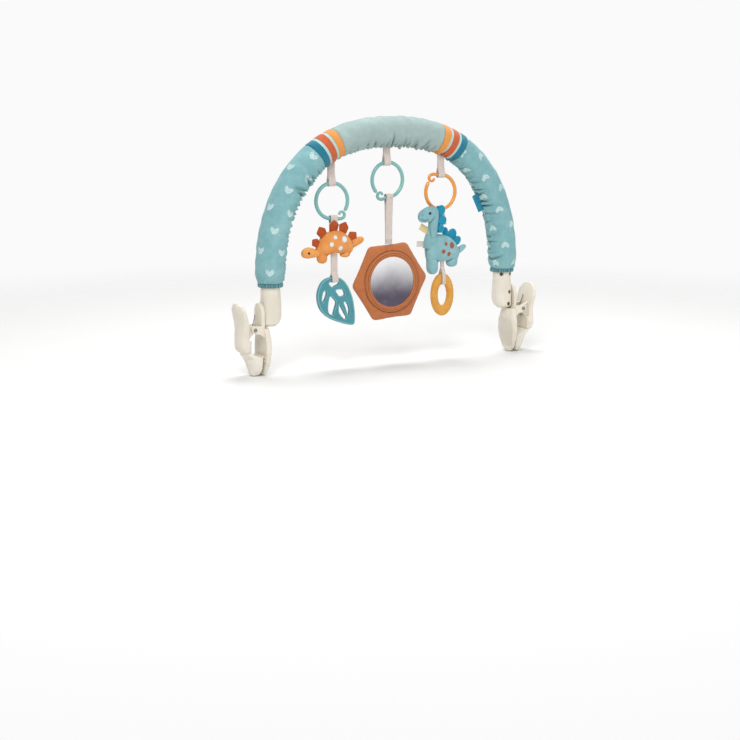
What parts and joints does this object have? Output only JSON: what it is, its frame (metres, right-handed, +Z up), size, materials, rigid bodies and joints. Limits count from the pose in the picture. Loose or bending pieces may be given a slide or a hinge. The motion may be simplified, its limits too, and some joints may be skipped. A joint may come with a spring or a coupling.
{
  "type": "stroller mobile",
  "caption": "Padded cloth toy arch on spring clips for a pushchair or carrycot rim, with hanging plush dinosaurs, a mirror cushion and teethers on linking rings",
  "frame": {"origin": "midway between the two clips, at the height of the rim that they grip", "axes": "+X from the left clip to the right clip as seen from the front, +Z up, and the toys' faces look along -Y"},
  "size_m": [0.5028, 0.0448, 0.3605],
  "materials": {
    "rod_plastic": "plain flexible rod",
    "foam": "open foam pad",
    "aqua_plush": "short plush with a pale print",
    "pale_aqua_plush": "short plush",
    "striped_plush": "sewn bands of short plush",
    "blue_cloth": "plain woven cloth",
    "ribbon": "woven ribbon",
    "elastic": "gathered elastic hem",
    "ivory_plastic": "moulded satin",
    "soft_ivory": "soft moulded grip",
    "steel": "plated",
    "mint_plastic": "moulded",
    "orange_plastic": "moulded",
    "orange_plush": "stuffed short plush",
    "teal_rubber": "moulded silicone",
    "terracotta_cloth": "padded corduroy",
    "mirror": "polished plastic mirror",
    "blue_plush": "stuffed short plush",
    "blue_felt": "cut felt",
    "cream_cloth": "folded tape",
    "white_cloth": "folded tape",
    "orange_rubber": "moulded silicone with fine speckles"
  },
  "bodies": {
    "arch": {"arch_rod": "rod_plastic", "foam_core": "foam", "sleeve_left": "aqua_plush", "sleeve_centre": "pale_aqua_plush", "sleeve_right": "aqua_plush", "stripes_left": "striped_plush", "stripes_right": "striped_plush", "arch_tag": "blue_cloth", "hanger_left": "ribbon", "hanger_centre": "ribbon", "hanger_right": "ribbon", "cuff_left": "elastic", "cuff_right": "elastic", "housing_front_left": "ivory_plastic", "housing_back_left": "ivory_plastic", "housing_front_right": "ivory_plastic", "housing_back_right": "ivory_plastic", "screw_1_left": "steel", "screw_2_left": "steel", "screw_3_left": "steel", "screw_4_left": "steel", "screw_1_right": "steel", "screw_2_right": "steel", "screw_3_right": "steel", "screw_4_right": "steel"},
    "clip_left": {"inner_jaw_left": "ivory_plastic", "jaw_pin_left": "steel", "jaw_spring_left": "steel"},
    "clip_right": {"inner_jaw_right": "ivory_plastic", "jaw_pin_right": "steel", "jaw_spring_right": "steel"},
    "lever_left": {"outer_jaw_left": "ivory_plastic", "jaw_tip_left": "soft_ivory"},
    "lever_right": {"outer_jaw_right": "ivory_plastic", "jaw_tip_right": "soft_ivory"},
    "link_left": {"ring_left": "mint_plastic"},
    "link_centre": {"ring_centre": "mint_plastic"},
    "link_right": {"ring_right": "orange_plastic"},
    "stegosaurus": {"stegosaurus_body": "orange_plush", "stegosaurus_head": "orange_plush", "stegosaurus_front_leg": "orange_plush", "stegosaurus_rear_leg": "orange_plush", "stegosaurus_loop": "ribbon"},
    "leaf": {"leaf_ribbon": "ribbon", "leaf_teether": "teal_rubber"},
    "mirror_toy": {"mirror_strap": "ribbon", "mirror_pouch": "terracotta_cloth", "mirror_frame": "terracotta_cloth", "mirror_disc": "mirror"},
    "dinosaur": {"dinosaur_body": "blue_plush", "dinosaur_neck_head": "blue_plush", "dinosaur_front_leg": "blue_plush", "dinosaur_rear_leg": "blue_plush", "dinosaur_neck_crest": "blue_felt", "dinosaur_back_crest": "blue_felt", "dinosaur_loop": "ribbon", "cream_tag": "cream_cloth", "white_tag": "white_cloth"},
    "oval": {"oval_ribbon": "ribbon", "oval_teether": "orange_rubber"}
  },
  "joints": [
    {"name": "clip_tilt_left", "type": "hinge", "parent": "arch", "child": "clip_left", "pos_m": [-0.1955, 0, 0.0375], "axis": [1, 0, 0], "range_deg": [-60, 60]},
    {"name": "clip_tilt_right", "type": "hinge", "parent": "arch", "child": "clip_right", "pos_m": [0.1955, 0, 0.0375], "axis": [1, 0, 0], "range_deg": [-60, 60]},
    {"name": "jaw_open_left", "type": "hinge", "parent": "clip_left", "child": "lever_left", "pos_m": [-0.2265, 0, 0.02], "axis": [0, 1, 0], "range_deg": [0, 25], "stiffness_Nm_per_rad": 0.9, "springref_deg": -20.05, "deforming": ["jaw_spring_left"]},
    {"name": "jaw_open_right", "type": "hinge", "parent": "clip_right", "child": "lever_right", "pos_m": [0.2265, 0, 0.02], "axis": [0, -1, 0], "range_deg": [0, 25], "stiffness_Nm_per_rad": 0.9, "springref_deg": -20.05, "deforming": ["jaw_spring_right"]},
    {"name": "ring_swing_left", "type": "hinge", "parent": "arch", "child": "link_left", "pos_m": [-0.0975, 0, 0.2201], "axis": [1, 0, 0], "range_deg": [-45, 45]},
    {"name": "ring_swing_centre", "type": "hinge", "parent": "arch", "child": "link_centre", "pos_m": [-0.0065, 0, 0.2475], "axis": [1, 0, 0], "range_deg": [-45, 45]},
    {"name": "ring_swing_right", "type": "hinge", "parent": "arch", "child": "link_right", "pos_m": [0.084, 0, 0.2273], "axis": [1, 0, 0], "range_deg": [-45, 45]},
    {"name": "stegosaurus_swing", "type": "hinge", "parent": "link_left", "child": "stegosaurus", "pos_m": [-0.0975, 0, 0.1695], "axis": [1, 0, 0], "range_deg": [-40, 40]},
    {"name": "mirror_swing", "type": "hinge", "parent": "link_centre", "child": "mirror_toy", "pos_m": [-0.0065, 0, 0.1969], "axis": [1, 0, 0], "range_deg": [-40, 40]},
    {"name": "dinosaur_swing", "type": "hinge", "parent": "link_right", "child": "dinosaur", "pos_m": [0.084, 0, 0.1767], "axis": [1, 0, 0], "range_deg": [-20, 20]},
    {"name": "leaf_swing", "type": "hinge", "parent": "stegosaurus", "child": "leaf", "pos_m": [-0.0943, 0, 0.1178], "axis": [1, 0, 0], "range_deg": [-40, 40], "deforming": ["leaf_ribbon"]},
    {"name": "oval_swing", "type": "hinge", "parent": "dinosaur", "child": "oval", "pos_m": [0.0882, 0, 0.0979], "axis": [1, 0, 0], "range_deg": [-30, 30], "deforming": ["oval_ribbon"]}
  ]
}
